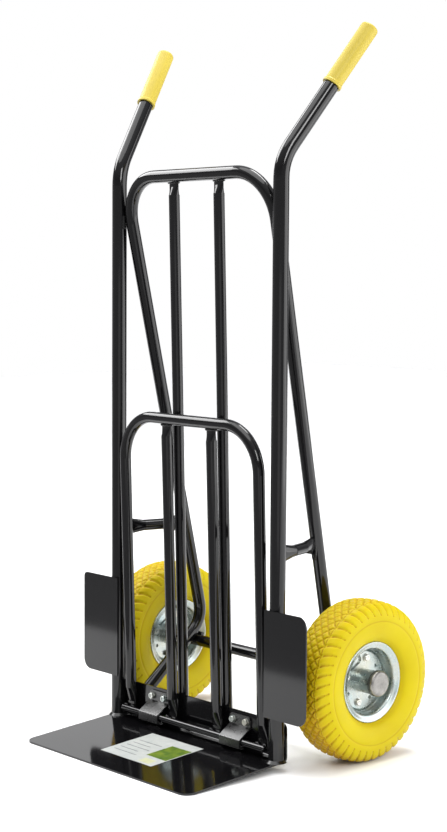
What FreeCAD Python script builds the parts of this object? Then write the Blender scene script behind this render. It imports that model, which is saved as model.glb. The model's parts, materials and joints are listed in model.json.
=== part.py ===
"""Hand truck with a folding toe frame, two puncture-proof wheels and splayed handles.

Frame: millimetres, +Z up, the toe plate points towards -Y, +X is the right-hand side.
The pieces are drawn about the point of the floor midway between the uprights, and are then
moved so that the origin is on the floor at the middle of the whole footprint.
Every physical piece is its own solid and goes to its own file in parts/.
"""
import FreeCAD, Part
import math
import os

V = FreeCAD.Vector

# ---- driving dimensions -------------------------------------------------------------
# uprights and handles
UPRIGHT_X = 197.5            # from the middle plane to each upright's axis
UPRIGHT_OD = 25.0
UPRIGHT_WALL = 2.0
UPRIGHT_LEAN = math.radians(0.5)
HANDLE_BEND_Z = 951.0        # where the upright's and the handle's axes cross
HANDLE_BEND_R = 85.0
HANDLE_RISE = math.radians(55.2)
HANDLE_SPLAY = math.radians(10.8)
HANDLE_LENGTH = 252.0        # from the crossing to the tube's end
GRIP_START = 143.0
GRIP_OD = 29.0
GRIP_END_WALL = 5.0
GRIP_LIP_OD = 31.5

# toe plate: a folded sheet, front edge on the floor, heel a little higher
TOE_HALF_WIDTH = 206.0
TOE_FRONT_Y = -193.0
TOE_HEEL_RISE = 12.5         # height of the plate's underside at y = 0
TOE_SHEET = 3.0
FLANGE_FACE_Y = 13.2         # front face of the upright flange
FLANGE_TOP_Z = 75.0
TOE_BEND_R = 5.0
TOE_CORNER_R = 18.0
FLANGE_CORNER_R = 10.0

# back loop: one bent tube, top bar, two raked legs, then forward to the flange
LOOP_OD = 21.3
LOOP_WALL = 2.0
LOOP_TOP = (178.5, 3.6, 935.4)
LOOP_KNEE = (158.6, 158.6, 167.6)
LOOP_FOOT = (158.6, 8.0, 39.6)
LOOP_TOP_R = 76.0
LOOP_KNEE_R = 50.0

# inner bars of the main frame
BAR_X = 54.8
BAR_OD = 18.0
BAR_WALL = 1.5
BAR_TOP_Y = 7.4
BAR_FOOT_Y = 26.4
BAR_FOOT_Z = 24.0

# side braces
BRACE_OD = 19.0
BRACE_Z = 342.0
BRACE_BLADE = 6.0            # thickness of the crushed ends
BRACE_BLADE_H = 30.0
BRACE_CRUSH = 34.0           # length over which the tube is crushed

# wheel guards
GUARD_INNER_X = 183.0
GUARD_OUTER_X = 276.0
GUARD_LOW_Z = 86.0
GUARD_HIGH_Z = 256.0
GUARD_SHEET = 2.5
GUARD_CORNER_R = 18.0
GUARD_CORNER_SMALL_R = 8.0

# folding toe frame
FOLD_X = 165.2
FOLD_OD = 19.0
FOLD_WALL = 1.5
FOLD_TOP_Z = 538.7
FOLD_TOP_Y = -9.6
FOLD_FOOT_Y = 2.9
FOLD_CORNER_R = 74.0
FOLD_BAR_X = 55.4
FOLD_BAR_OD = 18.0
ROD_Y = -5.5
ROD_Z = 32.0
ROD_OD = 11.0
ROD_HALF_LENGTH = 178.0
TONGUE_T = 5.0               # thickness of a flattened tube end
TONGUE_LOW = 7.0             # how far the tongues reach below the rod's axis
FLATTEN_LENGTH = 24.0

# hinge brackets: a bent strip hooked round the rod
BRACKET_X = 102.0
BRACKET_WIDTH = 48.0
BRACKET_SHEET = 2.5
BRACKET_TOP_Z = 70.0
BRACKET_CORNER_R = 7.0
HOOD_SLOPE = math.radians(34.0)
HOOD_BEND_R = 2.0
HOOK_GAP = 2.0
HOOK_END = 2.0
ROD_CLEARANCE = 0.06
BOLT_PITCH = 31.0
BOLT_Z = 60.5
BOLT_D = 6.0
BOLT_HEAD_AF = 10.0
BOLT_HEAD_H = 4.0
WASHER_OD = 12.0
WASHER_T = 1.6
NUT_H = 5.0

# wheels and axle
WHEEL_X = 237.0
AXLE_Y = 147.0
AXLE_Z = 130.0
AXLE_D = 20.0
TYRE_OD = 260.0
TYRE_HALF_WIDTH = 39.0
RIM_FLANGE_R = 65.0
RIM_HALF_WIDTH = 28.0
RIM_BED_R = 50.0
RIM_SHEET = 2.0
HUB_OD = 38.0
HUB_ID = 35.0
HUB_HALF_LENGTH = 35.0
HUB_PLATE_R = 46.0
HUB_NOTCH_R = 27.0           # from the axle to the notch's floor
HUB_NOTCH_WIDTH = 30.0
HUB_NOTCH_CORNER_R = 6.0
HUB_PLATE_T = 3.0
RIM_BOLT_R = 36.0
RIM_BOLT_COUNT = 4
RIM_BOLT_D = 6.0
RIM_BOLT_START = math.radians(75.0)
RIM_HOLE_D = 6.0
BEARING_WIDTH = 11.0
BEARING_RECESS = 2.0
AXLE_RUNNING_GAP = 0.05
CAP_OD = 42.0
CAP_GAP = 1.5                # between the hub's end and the cap
CAP_DEPTH = 10.0
CAP_SHEET = 1.5
SPLIT_PIN_D = 4.0

# paper label on the toe plate
LABEL_HALF_WIDTH = 64.0
LABEL_FRONT_Y = -144.0
LABEL_BACK_Y = -34.0
LABEL_T = 0.3

WELD_R = 2.6
NECK_START = 1.0             # how far inside its tube a flattened neck starts
NECK_INSET = 0.4             # how much narrower than the tube it is there
ROUND_DIFFERENCE = 0.01      # between the two half widths of a neck's round end

TOE_SLOPE = math.atan2(TOE_HEEL_RISE, -TOE_FRONT_Y)
FOOTPRINT_MIDDLE_Y = (TOE_FRONT_Y + AXLE_Y + TYRE_OD / 2) / 2
CAD = {}


# ---- small helpers ------------------------------------------------------------------
def unit(v):
    return v / v.Length


def mirrored(shape):
    return shape.mirror(V(0, 0, 0), V(1, 0, 0))


def rounded_path(points, radii):
    """Wire through the points, straight runs joined by tangent arcs of the given radii."""
    edges = []
    last = points[0]
    for i in range(1, len(points) - 1):
        before = unit(points[i - 1] - points[i])
        after = unit(points[i + 1] - points[i])
        half = before.getAngle(after) / 2
        reach = radii[i - 1] / math.tan(half)
        start = points[i] + before * reach
        end = points[i] + after * reach
        middle = unit(before + after)
        centre = points[i] + middle * (radii[i - 1] / math.sin(half))
        edges.append(Part.LineSegment(last, start).toShape())
        edges.append(Part.Arc(start, centre - middle * radii[i - 1], end).toShape())
        last = end
    edges.append(Part.LineSegment(last, points[-1]).toShape())
    return Part.Wire(edges)


def sweep(wire, radius):
    first = wire.Edges[0]
    ring = Part.Wire(Part.Circle(first.valueAt(first.FirstParameter),
                                 first.tangentAt(first.FirstParameter), radius).toShape())
    return wire.makePipeShell([ring], True, False)


def tube(points, radii, od, wall):
    """Bent tube with open ends."""
    wire = rounded_path(points, radii)
    return sweep(wire, od / 2).cut(sweep(wire, od / 2 - wall))


def rod(start, end, radius):
    direction = end - start
    return Part.makeCylinder(radius, direction.Length, start, direction)


def ring(start, end, outer, inner):
    return rod(start, end, outer).cut(rod(start, end, inner))


def along_x(x1, x2, radius, y=0.0, z=0.0):
    return rod(V(min(x1, x2), y, z), V(max(x1, x2), y, z), radius)


def extrude_x(points, x1, x2):
    """Solid of a closed outline, given as (y, z), between two X planes."""
    face = Part.Face(Part.makePolygon([V(x1, y, z) for y, z in points + points[:1]]))
    return face.extrude(V(x2 - x1, 0, 0))


def fillet_where(shape, radius, test):
    """Round every edge whose middle passes the test."""
    edges = [e for e in shape.Edges if test(e)]
    return shape.makeFillet(radius, edges)


def edge_middle(edge):
    return edge.valueAt((edge.FirstParameter + edge.LastParameter) / 2)


def is_straight_along(edge, axis):
    if not isinstance(edge.Curve, (Part.Line, Part.LineSegment)):
        return False
    direction = edge.tangentAt(edge.FirstParameter)
    return abs(direction.dot(axis)) > 0.999


def revolve_x(points):
    """Solid of revolution about the X axis of a closed outline, given as (x, radius)."""
    face = Part.Face(Part.makePolygon([V(x, 0, r) for x, r in points + points[:1]]))
    return face.revolve(V(0, 0, 0), V(1, 0, 0), 360)


def largest(shape):
    return max(shape.Solids, key=lambda s: s.Volume)


def crushed_end(start, outward, wide, tube_od, blade_half, blade_t, crush, flat):
    """Flattened end of a tube: a loft from the round tube to a flat blade, then the blade.

    start is where the tube is still round, outward points to the end, and wide is the
    direction in which the blade is widest.
    """
    across = unit(outward.cross(wide))
    r = tube_od / 2 - NECK_INSET
    round_ring = oval(start - outward * NECK_START, wide, across, r, r - ROUND_DIFFERENCE)
    blade_ring = oval(start + outward * crush, wide, across, blade_half, blade_t / 2)
    neck = Part.makeLoft([round_ring, blade_ring], True, True)
    blade = Part.Face(blade_ring).extrude(outward * flat)
    return neck.fuse(blade)


def oval(spot, wide, across, half_wide, half_across):
    """Elliptical wire about a point."""
    major = spot + unit(V(wide)) * half_wide
    minor = spot + unit(V(across)) * half_across
    return Part.Wire(Part.Ellipse(major, minor, spot).toShape())


def revolve_edges(edges):
    return Part.Face(Part.Wire(edges)).revolve(V(0, 0, 0), V(1, 0, 0), 360)


def hex_along(start, end, across_flats):
    """Hexagonal prism between two points, for bolt heads and nuts."""
    direction = end - start
    prism = Part.Face(Part.makePolygon(
        [V(across_flats / math.sqrt(3) * math.cos(math.pi * k / 3),
           across_flats / math.sqrt(3) * math.sin(math.pi * k / 3), 0) for k in range(7)]))
    solid = prism.extrude(V(0, 0, direction.Length))
    solid.Placement = FreeCAD.Placement(start, FreeCAD.Rotation(V(0, 0, 1), direction))
    return solid


def hex_bolt(face, direction, head_af, head_h, shank_d, shank_length):
    """Head on the outside of a face, shank going in along the direction, as one solid."""
    inward = unit(V(direction))
    head = hex_along(face - inward * head_h, face, head_af)
    chamfer = Part.makeCone(head_af * 0.47, head_af * 0.47 + head_h * 1.6, head_h * 1.6,
                            face - inward * head_h, inward)
    shank = rod(face, face + inward * shank_length, shank_d / 2)
    dimple = Part.makeSphere(head_af * 0.55, face - inward * (head_h + head_af * 0.47))
    return head.common(chamfer).fuse(shank).removeSplitter().cut(dimple)


# ---- lines that several pieces share ------------------------------------------------
def upright_axis(z, side=1):
    return V(side * UPRIGHT_X, z * math.tan(UPRIGHT_LEAN), z)


def plate_top(y):
    """Height of the toe plate's upper face at y."""
    return math.tan(TOE_SLOPE) * (y - TOE_FRONT_Y) + TOE_SHEET / math.cos(TOE_SLOPE)


def loop_axis(z):
    """Point on the raked right leg of the back loop."""
    top, knee = V(*LOOP_TOP), V(*LOOP_KNEE)
    return top + (knee - top) * ((top.z - z) / (top.z - knee.z))


HANDLE_AXIS = V(math.sin(HANDLE_SPLAY),
                math.cos(HANDLE_RISE) * math.cos(HANDLE_SPLAY),
                math.sin(HANDLE_RISE) * math.cos(HANDLE_SPLAY))


# ---- main frame ---------------------------------------------------------------------
def toe_plate():
    rear_y = FLANGE_FACE_Y + TOE_SHEET
    rise = math.tan(TOE_SLOPE)
    sheet_z = TOE_SHEET / math.cos(TOE_SLOPE)
    outline = [
        (TOE_FRONT_Y, 0.0),
        (rear_y, rise * (rear_y - TOE_FRONT_Y)),
        (rear_y, FLANGE_TOP_Z),
        (FLANGE_FACE_Y, FLANGE_TOP_Z),
        (FLANGE_FACE_Y, plate_top(FLANGE_FACE_Y)),
        (TOE_FRONT_Y, sheet_z),
    ]
    plate = extrude_x(outline, -TOE_HALF_WIDTH, TOE_HALF_WIDTH)

    def heel(y, z):
        def test(edge):
            middle = edge_middle(edge)
            near = abs(middle.y - y) < 0.5 and abs(middle.z - z) < 0.5
            return is_straight_along(edge, V(1, 0, 0)) and near
        return test

    plate = fillet_where(plate, TOE_BEND_R + TOE_SHEET, heel(*outline[1]))
    plate = fillet_where(plate, TOE_BEND_R, heel(*outline[4]))
    plate = fillet_where(plate, TOE_CORNER_R, lambda e: (
        abs(edge_middle(e).y - TOE_FRONT_Y) < 0.5 and is_straight_along(e, V(0, 0, 1))))
    plate = fillet_where(plate, FLANGE_CORNER_R, lambda e: (
        abs(edge_middle(e).z - FLANGE_TOP_Z) < 0.5 and is_straight_along(e, V(0, 1, 0))))
    for x in bolt_xs():
        plate = plate.cut(rod(V(x, 0, BOLT_Z), V(x, 40, BOLT_Z), BOLT_D / 2 + 0.3))
    return plate


def bolt_xs():
    right = [BRACKET_X - BOLT_PITCH / 2, BRACKET_X + BOLT_PITCH / 2]
    return right + [-x for x in right]


def upright(plate):
    bend = upright_axis(HANDLE_BEND_Z)
    points = [upright_axis(plate_top(0.0) - TOE_SHEET / 2), bend, bend + HANDLE_AXIS * HANDLE_LENGTH]
    return largest(tube(points, [HANDLE_BEND_R], UPRIGHT_OD, UPRIGHT_WALL).cut(plate))


def grip():
    """Closed sleeve with a small lip at its open end."""
    r = GRIP_OD / 2
    lip = GRIP_LIP_OD / 2
    bore = UPRIGHT_OD / 2 + 0.05
    inner_end = HANDLE_LENGTH + 0.3
    outer_end = HANDLE_LENGTH + GRIP_END_WALL
    round_r = 4.5
    turn = round_r * (1 - math.sqrt(0.5))
    start = GRIP_START
    lip_end = start + 4.0
    edges = [
        Part.LineSegment(V(start, 0, bore), V(start, 0, lip)).toShape(),
        Part.LineSegment(V(start, 0, lip), V(lip_end, 0, lip)).toShape(),
        Part.LineSegment(V(lip_end, 0, lip), V(lip_end + 2.0, 0, r)).toShape(),
        Part.LineSegment(V(lip_end + 2.0, 0, r), V(outer_end - round_r, 0, r)).toShape(),
        Part.Arc(V(outer_end - round_r, 0, r), V(outer_end - turn, 0, r - turn),
                 V(outer_end, 0, r - round_r)).toShape(),
        Part.LineSegment(V(outer_end, 0, r - round_r), V(outer_end, 0, 0)).toShape(),
        Part.LineSegment(V(outer_end, 0, 0), V(inner_end, 0, 0)).toShape(),
        Part.LineSegment(V(inner_end, 0, 0), V(inner_end, 0, bore)).toShape(),
        Part.LineSegment(V(inner_end, 0, bore), V(start, 0, bore)).toShape(),
    ]
    solid = revolve_edges(edges)
    solid.Placement = FreeCAD.Placement(upright_axis(HANDLE_BEND_Z),
                                        FreeCAD.Rotation(V(1, 0, 0), HANDLE_AXIS))
    return solid


def loop_wire():
    right = [V(*LOOP_FOOT), V(*LOOP_KNEE), V(*LOOP_TOP)]
    left = [V(-p.x, p.y, p.z) for p in reversed(right)]
    return rounded_path(right + left, [LOOP_KNEE_R, LOOP_TOP_R, LOOP_TOP_R, LOOP_KNEE_R])


def back_loop():
    wire = loop_wire()
    pipe = sweep(wire, LOOP_OD / 2).cut(sweep(wire, LOOP_OD / 2 - LOOP_WALL))
    rear_y = FLANGE_FACE_Y + TOE_SHEET
    before_flange = Part.makeBox(2 * TOE_HALF_WIDTH, 60, 120, V(-TOE_HALF_WIDTH, rear_y - 60, 0))
    return largest(pipe.cut(before_flange))


def inner_bar(loop_solid):
    """Straight tube behind the flange, crushed at the top where it meets the loop."""
    foot = V(BAR_X, BAR_FOOT_Y, BAR_FOOT_Z)
    head = V(BAR_X, BAR_TOP_Y, LOOP_TOP[2] - 6.0)
    up = unit(head - foot)
    crush, flat = 13.0, 12.0
    round_end = head - up * (crush + flat)
    body = ring(foot, round_end, BAR_OD / 2, BAR_OD / 2 - BAR_WALL)
    top = crushed_end(round_end, up, V(1, 0, 0), BAR_OD, 11.0, 6.0, crush, flat)
    return largest(body.fuse(top).cut(loop_solid))


def brace(upright_solid, loop_solid):
    front = upright_axis(BRACE_Z)
    rear = loop_axis(BRACE_Z)
    along = unit(rear - front)
    span = (rear - front).Length
    first = UPRIGHT_OD / 2 + BRACE_CRUSH
    last = span - LOOP_OD / 2 - BRACE_CRUSH
    body = ring(front + along * first, front + along * last, BRACE_OD / 2, BRACE_OD / 2 - 1.5)
    up = V(0, 0, 1)
    front_end = crushed_end(front + along * first, along * -1, up, BRACE_OD,
                            BRACE_BLADE_H / 2, BRACE_BLADE, BRACE_CRUSH, UPRIGHT_OD / 2)
    rear_end = crushed_end(front + along * last, along, up, BRACE_OD,
                           BRACE_BLADE_H / 2, BRACE_BLADE, BRACE_CRUSH, LOOP_OD / 2)
    whole = body.fuse([front_end, rear_end])
    return largest(whole.cut([upright_solid, loop_solid]))


def wheel_guard(top_radius):
    """Flat plate in front of the tyre, leaning with the upright that carries it."""
    face_y = -UPRIGHT_OD / 2 - 0.05
    plate = Part.makeBox(GUARD_OUTER_X - GUARD_INNER_X, GUARD_SHEET, GUARD_HIGH_Z - GUARD_LOW_Z,
                         V(GUARD_INNER_X, face_y - GUARD_SHEET, GUARD_LOW_Z))

    def corner(x, z):
        return lambda e: (is_straight_along(e, V(0, 1, 0)) and abs(edge_middle(e).x - x) < 0.5
                          and abs(edge_middle(e).z - z) < 0.5)

    plate = fillet_where(plate, top_radius, corner(GUARD_OUTER_X, GUARD_HIGH_Z))
    plate = fillet_where(plate, GUARD_CORNER_R, corner(GUARD_OUTER_X, GUARD_LOW_Z))
    plate.rotate(V(0, 0, 0), V(1, 0, 0), -math.degrees(UPRIGHT_LEAN))
    return plate


# ---- hinge brackets and their fasteners ---------------------------------------------
def hinge_bracket():
    """Strip bolted to the flange: a tab, a sloping hood and a lip hooked under the rod."""
    inner = ROD_OD / 2 + ROD_CLEARANCE
    outer = inner + BRACKET_SHEET
    tab_y = FLANGE_FACE_Y - BRACKET_SHEET
    lip_y = ROD_Y - outer
    low = ROD_Z - outer - HOOK_GAP
    hook_y = ROD_Y + HOOK_END
    x1 = BRACKET_X - BRACKET_WIDTH / 2
    x2 = BRACKET_X + BRACKET_WIDTH / 2

    def hood_z(y, radius):
        """Height at y of the sloping line that passes the rod at a radius."""
        return ROD_Z + radius / math.cos(HOOD_SLOPE) + (y - ROD_Y) * math.tan(HOOD_SLOPE)

    profile = [
        (FLANGE_FACE_Y, hood_z(FLANGE_FACE_Y, inner)),
        (FLANGE_FACE_Y, BRACKET_TOP_Z),
        (tab_y, BRACKET_TOP_Z),
        (tab_y, hood_z(tab_y, outer)),
        (lip_y, hood_z(lip_y, outer)),
        (lip_y, low),
        (hook_y, low),
        (hook_y, low + BRACKET_SHEET),
        (ROD_Y - inner, low + BRACKET_SHEET),
        (ROD_Y - inner, hood_z(ROD_Y - inner, inner)),
    ]
    corners = [V(x1, y, z) for y, z in profile]
    strip = Part.Face(Part.makePolygon(corners + corners[:1])).extrude(V(BRACKET_WIDTH, 0, 0))
    bends = [(tab_y, hood_z(tab_y, outer)), (lip_y, hood_z(lip_y, outer)), (lip_y, low)]
    for y, z in bends:
        strip = fillet_where(strip, HOOD_BEND_R, lambda e: (
            is_straight_along(e, V(1, 0, 0)) and abs(edge_middle(e).y - y) < 0.3
            and abs(edge_middle(e).z - z) < 0.3))
    for x in (x1, x2):
        strip = fillet_where(strip, BRACKET_CORNER_R, lambda e: (
            is_straight_along(e, V(0, 1, 0)) and abs(edge_middle(e).z - BRACKET_TOP_Z) < 0.3
            and abs(edge_middle(e).x - x) < 0.3))
    for x in (BRACKET_X - BOLT_PITCH / 2, BRACKET_X + BOLT_PITCH / 2):
        strip = strip.cut(rod(V(x, 0, BOLT_Z), V(x, 40, BOLT_Z), BOLT_D / 2 + 0.3))
    return strip


def bracket_fasteners():
    """Bolts from the front, a washer on each side, and nuts behind the flange."""
    tab_face = FLANGE_FACE_Y - BRACKET_SHEET
    head_face = tab_face - WASHER_T
    rear = FLANGE_FACE_Y + TOE_SHEET
    nut_face = rear + WASHER_T
    bolts, washers, nuts = [], [], []
    for x in bolt_xs():
        def at(y):
            return V(x, y, BOLT_Z)
        length = nut_face + NUT_H + 2.5 - head_face
        bolts.append(hex_bolt(at(head_face), V(0, 1, 0), BOLT_HEAD_AF, BOLT_HEAD_H, BOLT_D, length))
        for low, high in ((head_face, tab_face), (rear, nut_face)):
            washers.append(ring(at(low), at(high), WASHER_OD / 2, BOLT_D / 2 + 0.2))
        nut = hex_along(at(nut_face), at(nut_face + NUT_H), BOLT_HEAD_AF)
        nuts.append(nut.cut(rod(at(rear), at(nut_face + NUT_H + 1), BOLT_D / 2)))
    return [Part.makeCompound(group) for group in (bolts, washers, nuts)]


# ---- folding toe frame --------------------------------------------------------------
def fold_axis(z):
    """Y of the folding frame's plane at height z."""
    share = (z - ROD_Z) / (FOLD_TOP_Z - ROD_Z)
    return FOLD_FOOT_Y + (FOLD_TOP_Y - FOLD_FOOT_Y) * share


def flattened_foot(x, od):
    """Lower end of a folding tube: crushed to a tongue that is welded behind the rod."""
    low = ROD_Z - TONGUE_LOW
    tongue_top = ROD_Z + 12.0
    round_z = tongue_top + FLATTEN_LENGTH
    tongue_y = ROD_Y + ROD_OD / 2 + TONGUE_T / 2
    half = od * 0.62
    centre = V(x, fold_axis(round_z), round_z)
    lower = V(x, tongue_y, tongue_top)
    side, deep = V(1, 0, 0), V(0, 1, 0)
    r = od / 2 - NECK_INSET
    inside = V(x, fold_axis(round_z + NECK_START), round_z + NECK_START)
    upper_ring = oval(inside, side, deep, r, r - ROUND_DIFFERENCE)
    tongue_ring = oval(lower, side, deep, half, TONGUE_T / 2)
    neck = Part.makeLoft([upper_ring, tongue_ring], True, True)
    tongue = Part.Face(tongue_ring).extrude(V(0, 0, low - tongue_top))
    return neck.fuse(tongue), centre


def fold_hoop():
    foot, joint = flattened_foot(FOLD_X, FOLD_OD)
    corner = V(FOLD_X, FOLD_TOP_Y, FOLD_TOP_Z)
    right = [joint, corner]
    left = [V(-p.x, p.y, p.z) for p in reversed(right)]
    hoop = tube(right + left, [FOLD_CORNER_R, FOLD_CORNER_R], FOLD_OD, FOLD_WALL)
    return hoop.fuse([foot, mirrored(foot)]).removeSplitter()


def fold_bar(hoop_solid):
    foot, joint = flattened_foot(FOLD_BAR_X, FOLD_BAR_OD)
    head = V(FOLD_BAR_X, FOLD_TOP_Y, FOLD_TOP_Z - 4.0)
    up = unit(head - joint)
    crush, flat = 12.0, 12.0
    round_end = head - up * (crush + flat)
    body = ring(joint, round_end, FOLD_BAR_OD / 2, FOLD_BAR_OD / 2 - FOLD_WALL)
    top = crushed_end(round_end, up, V(1, 0, 0), FOLD_BAR_OD, 10.8, 6.0, crush, flat)
    return largest(body.fuse([foot, top]).cut(hoop_solid))


def hinge_rod():
    pin = along_x(-ROD_HALF_LENGTH, ROD_HALF_LENGTH, ROD_OD / 2, ROD_Y, ROD_Z)
    return pin.makeChamfer(1.5, [e for e in pin.Edges if isinstance(e.Curve, Part.Circle)])


def fold_welds():
    """Two small beads on each tongue, above the rod."""
    beads = []
    y = ROD_Y + ROD_OD / 2 - 1.2
    z = ROD_Z + ROD_OD / 2 - 1.0
    pin = along_x(-ROD_HALF_LENGTH, ROD_HALF_LENGTH, ROD_OD / 2, ROD_Y, ROD_Z)
    for x in (FOLD_X, FOLD_BAR_X, -FOLD_BAR_X, -FOLD_X):
        for shift in (-5.5, 5.5):
            bead = Part.makeSphere(WELD_R, V(x + shift, y, z))
            behind = Part.makeBox(40, 20, 40, V(x - 20, ROD_Y + ROD_OD / 2, z - 20))
            beads.append(largest(bead.cut([pin, behind])))
    return Part.makeCompound(beads)


# ---- welds of the main frame --------------------------------------------------------
def frame_welds(plate, upright_solid, loop_solid, axle_solid):
    beads = []
    foot = upright_axis(plate_top(0.0) - 1.0)
    collar = Part.makeCone(UPRIGHT_OD / 2 + 4.2, UPRIGHT_OD / 2 - 0.5, 4.8, foot, V(0, 0, 1))
    collar = largest(collar.cut([plate, upright_solid]))
    leg = loop_axis(862.0)
    post = upright_axis(862.0)
    gap = (leg + post) * 0.5
    seam = rod(gap + V(0, -5, -11), gap + V(0, -5, 11), WELD_R + 1.2)
    seam = largest(seam.cut([upright_solid, loop_solid]))
    knee_x = LOOP_KNEE[0]
    low = V(knee_x, AXLE_Y + 5.0, AXLE_Z + 11.5)
    saddle = rod(low + V(-9, 0, 0), low + V(9, 0, 0), WELD_R + 0.6)
    saddle = largest(saddle.cut([axle_solid, loop_solid]))
    for bead in (collar, seam, saddle):
        beads.append(bead)
        beads.append(mirrored(bead))
    return Part.makeCompound(beads)


# ---- axle and its retaining parts ---------------------------------------------------
def cap_face_x():
    return WHEEL_X + HUB_HALF_LENGTH + CAP_GAP


def pin_x():
    return WHEEL_X - HUB_HALF_LENGTH - 2.3 - SPLIT_PIN_D / 2 - 0.6


def axle():
    end = cap_face_x() + 6.0
    shaft = along_x(-end, end, AXLE_D / 2, AXLE_Y, AXLE_Z)
    shaft = shaft.makeChamfer(1.2, [e for e in shaft.Edges if isinstance(e.Curve, Part.Circle)])
    for side in (1, -1):
        hole = Part.makeCylinder(SPLIT_PIN_D / 2 + 0.1, 40, V(side * pin_x(), AXLE_Y, AXLE_Z - 20))
        shaft = shaft.cut(hole)
    return shaft


def axle_cap():
    """Domed push-on cap with an inner sleeve on the axle."""
    face = cap_face_x()
    r = CAP_OD / 2
    outer = along_x(face, face + CAP_DEPTH, r, AXLE_Y, AXLE_Z)
    far = [e for e in outer.Edges if isinstance(e.Curve, Part.Circle)
           and abs(edge_middle(e).x - face - CAP_DEPTH) < 0.1]
    outer = outer.makeFillet(CAP_DEPTH * 0.55, far)
    hollow = along_x(face, face + CAP_DEPTH - CAP_SHEET, r - CAP_SHEET, AXLE_Y, AXLE_Z)
    deep = [e for e in hollow.Edges if isinstance(e.Curve, Part.Circle)
            and abs(edge_middle(e).x - face - CAP_DEPTH + CAP_SHEET) < 0.1]
    hollow = hollow.makeFillet(CAP_DEPTH * 0.4, deep)
    sleeve = ring(V(face + 0.3, AXLE_Y, AXLE_Z), V(face + CAP_DEPTH - 1.0, AXLE_Y, AXLE_Z),
                  AXLE_D / 2 + 2.0, AXLE_D / 2 + 0.02)
    return outer.cut(hollow).fuse(sleeve.common(outer)).removeSplitter()


def inner_washer():
    hub_end = WHEEL_X - HUB_HALF_LENGTH
    return ring(V(hub_end - 2.3, AXLE_Y, AXLE_Z), V(hub_end - 0.3, AXLE_Y, AXLE_Z),
                17.0, AXLE_D / 2 + 0.1)


def split_pin():
    """Pin through the axle with an eye on top and two bent legs below."""
    r = SPLIT_PIN_D / 2
    x = pin_x()
    stem = Part.makeCylinder(r, AXLE_D + 4.0, V(x, AXLE_Y, AXLE_Z - AXLE_D / 2 - 2.0))
    eye = Part.makeTorus(3.4, 1.4, V(x, AXLE_Y, AXLE_Z + AXLE_D / 2 + 5.0), V(1, 0, 0))
    low = AXLE_Z - AXLE_D / 2 - 2.5
    legs = [rod(V(x, AXLE_Y, low + 1.5), V(x, AXLE_Y + side * 8.0, low - 3.0), 1.4)
            for side in (1, -1)]
    return stem.fuse([eye] + legs)


# ---- wheel --------------------------------------------------------------------------
def rim_half():
    """Pressed half of the split rim: web, drum, bead seat and rolled flange."""
    sheet = RIM_SHEET
    bore = HUB_OD / 2 + 0.05
    w, bed, lip = RIM_HALF_WIDTH, RIM_BED_R, RIM_FLANGE_R
    outline = [
        (0, bore), (0, bed), (w - 10.0, bed + 1.0), (w - 6.0, bed + 4.0), (w - 4.5, lip - 3.0),
        (w - 2.5, lip), (w + 0.5, lip), (w + 0.5, lip - 1.7), (w - 1.5, lip - 2.0),
        (w - 2.6, lip - 3.8), (w - 4.0, bed + 3.4), (w - 9.0, bed - 1.0),
        (sheet + 1.5, bed - sheet), (sheet, bed - sheet - 1.5), (sheet, bore),
    ]
    half = revolve_x(outline)
    for k in range(RIM_BOLT_COUNT):
        turn = RIM_BOLT_START + k * 2 * math.pi / RIM_BOLT_COUNT
        half = half.cut(bolt_hole(turn, RIM_BOLT_D / 2 + 0.2))
        half = half.cut(bolt_hole(turn + math.pi / RIM_BOLT_COUNT, RIM_HOLE_D / 2))
    return half


def bolt_hole(turn, radius):
    y, z = RIM_BOLT_R * math.cos(turn), RIM_BOLT_R * math.sin(turn)
    return along_x(-20, 20, radius, y, z)


def hub_plate():
    """Round plate welded on the hub tube, with a rounded notch between two of the bolts."""
    x1, x2 = RIM_SHEET, RIM_SHEET + HUB_PLATE_T
    plate = along_x(x1, x2, HUB_PLATE_R)
    turn = RIM_BOLT_START + math.pi / RIM_BOLT_COUNT
    out = V(0, math.cos(turn), math.sin(turn))
    across = V(0, -math.sin(turn), math.cos(turn))
    half = HUB_NOTCH_WIDTH / 2
    base = [out * HUB_NOTCH_R - across * half, out * HUB_NOTCH_R + across * half]
    wide = [p + out * HUB_PLATE_R for p in (base[1] + across * 6, base[0] - across * 6)]
    notch = Part.Face(Part.makePolygon(base + wide + base[:1])).extrude(V(2 * x2, 0, 0))
    notch = fillet_where(notch, HUB_NOTCH_CORNER_R, lambda e: (
        is_straight_along(e, V(1, 0, 0)) and edge_middle(e).dot(out) < HUB_NOTCH_R + 1.0))
    plate = plate.cut([notch, along_x(-20, 20, HUB_OD / 2 + 0.05)])
    for k in range(RIM_BOLT_COUNT):
        turn = RIM_BOLT_START + k * 2 * math.pi / RIM_BOLT_COUNT
        plate = plate.cut([bolt_hole(turn, RIM_BOLT_D / 2 + 0.2),
                           bolt_hole(turn + math.pi / RIM_BOLT_COUNT, RIM_HOLE_D / 2)])
    return plate


def hub_tube():
    return ring(V(-HUB_HALF_LENGTH, 0, 0), V(HUB_HALF_LENGTH, 0, 0), HUB_OD / 2, HUB_ID / 2)


def bearing(centre_x):
    """Ball bearing: outer ring, inner ring and two dust shields."""
    half = BEARING_WIDTH / 2
    outer_r = HUB_ID / 2 - 0.02
    bore = AXLE_D / 2 + AXLE_RUNNING_GAP
    rings = [(outer_r, outer_r - 3.0, -half, half), (bore + 2.5, bore, -half, half),
             (outer_r - 3.1, bore + 2.6, -half + 0.4, -half + 1.2),
             (outer_r - 3.1, bore + 2.6, half - 1.2, half - 0.4)]
    return [ring(V(centre_x + a, 0, 0), V(centre_x + b, 0, 0), outer, inner)
            for outer, inner, a, b in rings]


def bearings():
    centre = HUB_HALF_LENGTH - BEARING_RECESS - BEARING_WIDTH / 2
    return Part.makeCompound(bearing(centre) + bearing(-centre))


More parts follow.
